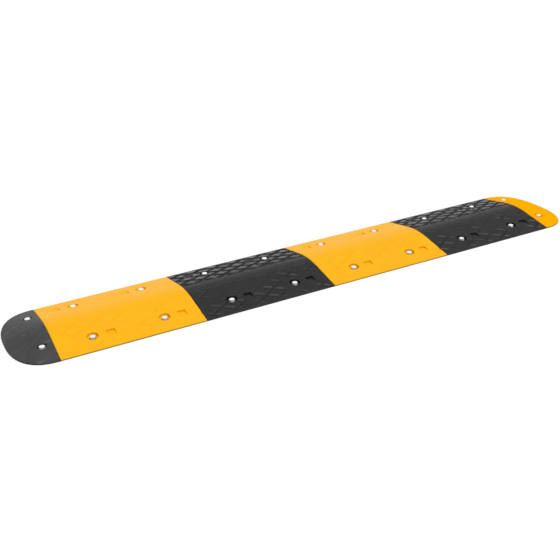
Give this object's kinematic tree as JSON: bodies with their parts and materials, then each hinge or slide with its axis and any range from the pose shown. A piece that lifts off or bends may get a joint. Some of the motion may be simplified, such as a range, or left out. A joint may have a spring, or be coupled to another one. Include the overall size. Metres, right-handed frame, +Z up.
{
  "type": "rubber speed bump",
  "caption": "Low modular rubber speed bump: straight yellow and black domed modules in a row with a rounded cap at each end, bolted down through counterbored holes.",
  "frame": {"origin": "centre of the underside, on the ground plane, at the seam between the second and third modules", "axes": "+X along the row from the left cap to the right cap, +Y across the row, away from the viewer, +Z up"},
  "size_m": [2.2804, 0.4, 0.0355],
  "materials": {
    "black_rubber": "moulded rubber, matt",
    "yellow_rubber": "moulded pigmented rubber, satin",
    "zinc_plated_steel": "bright zinc plate"
  },
  "bodies": {
    "root": {"left_end_cap": "black_rubber", "yellow_module_1": "yellow_rubber", "black_module_1": "black_rubber", "yellow_module_2": "yellow_rubber", "black_module_2": "black_rubber", "right_end_cap": "yellow_rubber", "left_end_cap_bolts": "zinc_plated_steel", "left_end_cap_washers": "zinc_plated_steel", "yellow_module_1_bolts": "zinc_plated_steel", "yellow_module_1_washers": "zinc_plated_steel", "black_module_1_bolts": "zinc_plated_steel", "black_module_1_washers": "zinc_plated_steel", "yellow_module_2_bolts": "zinc_plated_steel", "yellow_module_2_washers": "zinc_plated_steel", "black_module_2_bolts": "zinc_plated_steel", "black_module_2_washers": "zinc_plated_steel", "right_end_cap_bolts": "zinc_plated_steel", "right_end_cap_washers": "zinc_plated_steel"}
  },
  "joints": []
}
